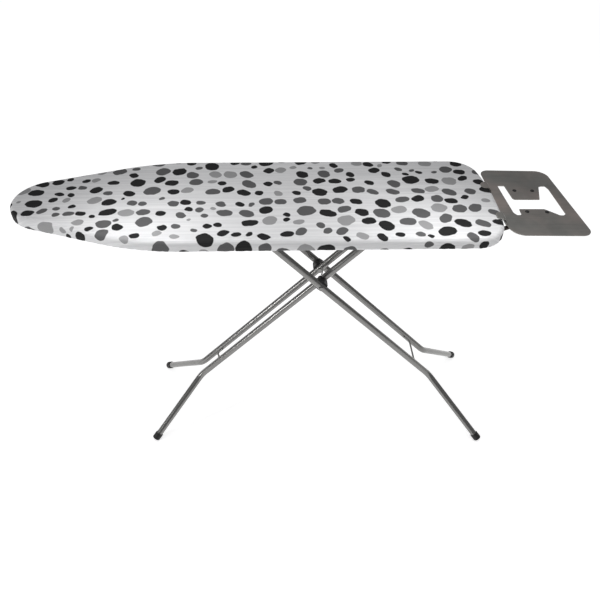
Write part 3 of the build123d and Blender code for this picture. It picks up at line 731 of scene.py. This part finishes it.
def simulate(o, rest, grow, pressure, pin, cap, frames=20):
    """Cloth under slight pressure, held by its pinned points; returns where its points end up, each move capped at
    cap.
    """
    pins = o.vertex_groups.new(name="pin")
    for w in sorted(set(np.round(pin, 2))):
        if w > 0:
            pins.add(np.nonzero(np.round(pin, 2) == w)[0].tolist(), float(w), "REPLACE")
    loose = o.vertex_groups.new(name="grow")
    for w in sorted(set(np.round(grow, 2))):
        loose.add(np.nonzero(np.round(grow, 2) == w)[0].tolist(), float(w), "REPLACE")
    md = o.modifiers.new("cloth", "CLOTH")
    st = md.settings
    st.quality = 6
    st.mass = 0.25
    st.tension_stiffness = st.compression_stiffness = 25
    st.shear_stiffness = 8
    st.bending_stiffness = 0.25
    st.tension_damping = st.compression_damping = 12
    st.air_damping = 4
    st.use_pressure = True
    st.uniform_pressure_force = pressure
    st.vertex_group_mass = "pin"
    st.pin_stiffness = 1.0
    st.vertex_group_shrink = "grow"
    st.shrink_min = 0.0
    st.shrink_max = -0.06
    st.effector_weights.gravity = 0
    md.collision_settings.use_collision = False
    md.collision_settings.use_self_collision = False
    md.point_cache.frame_start, md.point_cache.frame_end = 1, frames
    for f in range(1, frames + 1):
        scene.frame_set(f)
    dg = bpy.context.evaluated_depsgraph_get()
    got = get_co(o.evaluated_get(dg).to_mesh())
    o.evaluated_get(dg).to_mesh_clear()
    o.modifiers.remove(md)
    scene.frame_set(1)
    o.vertex_groups.clear()
    move = got - rest
    move[~np.isfinite(move).all(1)] = 0
    size = np.linalg.norm(move, axis=1)
    print("cloth moved", o.name, "mean", round(float(size.mean() * 1000), 3), "max", round(float(size.max() * 1000), 3), "mm")
    move *= np.minimum(1, cap / np.maximum(size, 1e-9))[:, None]
    return rest + move


rows_at = np.array(row_of)
pin = np.zeros(len(co))
grow = np.zeros(len(co))
for i in range(len(co)):
    k = rows_at[i]
    o_, z_ = ROWS[k][0], ROWS[k][1]
    if k < i_skirt:
        pin[i] = 0.9 if (k == 0 or o_ > RT) else 0.5
        grow[i] = 0.12
    elif k < i_under:
        pin[i] = 0.0
        grow[i] = 0.30
    else:
        pin[i] = 1.0 if z_ > Z_HEM + 0.0012 or o_ > 0.0318 else 0.0
        grow[i] = 0.8
got = simulate(cover, co, grow, 1.2, pin, 0.0022)
# the board's rim and the felt are inside, so no point goes further in than the cloth's own space
for i in range(len(co)):
    k = rows_at[i]
    if k < i_under and k >= i_skirt - 7 and ring_n[i].any():
        dr = float((got[i, :2] - cover_co[i, :2]) @ ring_n[i, :2])
        over = max(0.0, dr - 0.0020) + min(0.0, dr + 0.0010)
        got[i, :2] -= ring_n[i, :2] * over
    if k < i_skirt:
        got[i, 2] = min(max(got[i, 2], cover_co[i, 2] - 0.0010), Z_TOP - TM + 0.0001)
    if k >= i_under and ROWS[k][0] < 0.0175:
        got[i, 2] = min(got[i, 2], Z_HEM + TM + 0.0007)
set_co(cover.data, got)

smooth(cover)
md = cover.modifiers.new("thickness", "SOLIDIFY")
md.thickness, md.offset, md.use_even_offset = T, 0.0, False
dg = bpy.context.evaluated_depsgraph_get()
made = bpy.data.meshes.new_from_object(cover.evaluated_get(dg))
cover.modifiers.clear()
cover.data = made
cover.data.materials.clear()
cover.data.materials.append(M["cover_fabric"])
smooth(cover)

# flat cut: the outline grown by the cloth that goes over the edge and under the board
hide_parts("cover")
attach(cover, "board")

# ---------------------------------------------------------------- the felt pad
pz0, pz1 = PAD_LO.z, PAD_HI.z
PI = 0.0035
rp = 0.0042


def pad_rows():
    rows = [(o, pz1 - 0.0002, -o) for o in (0.060, 0.042, 0.028, 0.018, 0.011)]
    for k in range(0, 6):
        a = k / 5 * pi * 0.5
        rows.append((PI + 0.0003 + rp * (1 - math.sin(a)), pz1 - 0.0002 - rp * (1 - math.cos(a)), -PI))
    for k in range(1, 4):
        a = k / 3 * pi * 0.5
        rows.append((PI + 0.0003 + 0.0011 * (1 - math.cos(a)), pz0 + 0.0012 - 0.0010 * math.sin(a), -PI))
    rows += [(o, pz0 + 0.0002, -o) for o in (0.009, 0.018, 0.028, 0.042, 0.060)]
    return rows


pad, _, pad_row = shell("felt_underlay", pad_rows(), 0.0080, ("top", "bottom"), 0.012)
pc = get_co(pad.data)
for i in range(len(pc)):
    p = Vector((pc[i, 0] * 30, pc[i, 1] * 30, 0.5))
    a = 0.00025 * fbm(p, 2)
    pc[i, 2] += min(a, 0) if pc[i, 2] > (pz0 + pz1) / 2 else max(a, 0)
set_co(pad.data, pc)
pad.data.materials.append(M["felt"])
smooth(pad)
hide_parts("felt_pad")
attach(pad, "board")

# ---------------------------------------------------------------- floor, light, camera
bpy.ops.mesh.primitive_grid_add(x_subdivisions=8, y_subdivisions=8, size=60, location=(0, 0, -0.0004))
floor = bpy.context.object
floor.name = "floor"
fm = Mat("pale_floor")
fc = fm.coord()
ff = fm.noise(fc, 3.0, 4.0, 0.5)
fm.base(fm.mix(fm.span(ff, 0.3, 0.7, 0, 1), (0.86, 0.86, 0.86), (0.90, 0.90, 0.90)))
fm.set(Roughness=0.9, Specular_IOR_Level=0.1)
fm.b.inputs["Emission Color"].default_value = (1, 1, 1, 1)
fm.b.inputs["Emission Strength"].default_value = 0.70
floor.data.materials.append(fm.m)

world = bpy.data.worlds.new("studio")
scene.world = world
world.use_nodes = True
wt = world.node_tree
wt.nodes.clear()
wo = wt.nodes.new("ShaderNodeOutputWorld")
bg = wt.nodes.new("ShaderNodeBackground")
tc = wt.nodes.new("ShaderNodeTexCoord")
sx = wt.nodes.new("ShaderNodeSeparateXYZ")
rp_ = wt.nodes.new("ShaderNodeValToRGB")
wt.links.new(tc.outputs["Generated"], sx.inputs[0])
wt.links.new(sx.outputs[2], rp_.inputs[0])
el = rp_.color_ramp.elements
el[0].position, el[0].color = 0.0, (0.14, 0.14, 0.142, 1)
el[1].position, el[1].color = 0.9, (0.42, 0.42, 0.425, 1)
wt.links.new(rp_.outputs[0], bg.inputs[0])
bg.inputs[1].default_value = 1.0
wt.links.new(bg.outputs[0], wo.inputs[0])


def area_light(name, loc, target, size, size_y, power, colour=(1, 1, 1)):
    d = bpy.data.lights.new(name, "AREA")
    d.shape, d.size, d.size_y, d.energy, d.color = "RECTANGLE", size, size_y, power, colour
    o = bpy.data.objects.new(name, d)
    scene.collection.objects.link(o)
    o.location = loc
    o.rotation_mode = "QUATERNION"
    o.rotation_quaternion = (Vector(target) - Vector(loc)).to_track_quat("-Z", "Y")
    o.visible_camera = False
    return o


area_light("front_left", (-0.409, -0.16, 1.007), (-0.245, -0.40, 0.7265), 0.26, 0.10, 1.16)
area_light("front_right", (0.358, -0.16, 1.007), (0.215, -0.40, 0.7265), 0.26, 0.10, 1.16)
area_light("overhead", (0.0, 0.3, 3.2), (0.0, 0.0, 0.6), 2.4, 1.2, 12.0)
area_light("left_strip", (-2.7, -1.1, 0.95), (0.0, 0.0, 0.35), 0.12, 0.7, 15.0)

cam_data = bpy.data.cameras.new("camera")
cam = bpy.data.objects.new("camera", cam_data)
scene.collection.objects.link(cam)
scene.camera = cam
cam_data.sensor_width, cam_data.sensor_fit = 36.0, "HORIZONTAL"
cam_data.lens = 34.50
pitch, yaw, roll = 0.7321, 0.0435, 0.0154
fw = Vector((math.sin(yaw) * math.cos(pitch), math.cos(yaw) * math.cos(pitch), -math.sin(pitch)))
rt = Vector((math.cos(yaw), -math.sin(yaw), 0))
up = rt.cross(fw)
r2 = rt * math.cos(roll) + up * math.sin(roll)
u2 = -rt * math.sin(roll) + up * math.cos(roll)
cam.matrix_world = Matrix((
    (r2.x, u2.x, -fw.x, -0.03613),
    (r2.y, u2.y, -fw.y, -1.129),
    (r2.z, u2.z, -fw.z, 1.4266),
    (0, 0, 0, 1),
))
cam_data.clip_start, cam_data.clip_end = 0.02, 200.0

scene.view_settings.view_transform = "Standard"
scene.view_settings.look = "None"
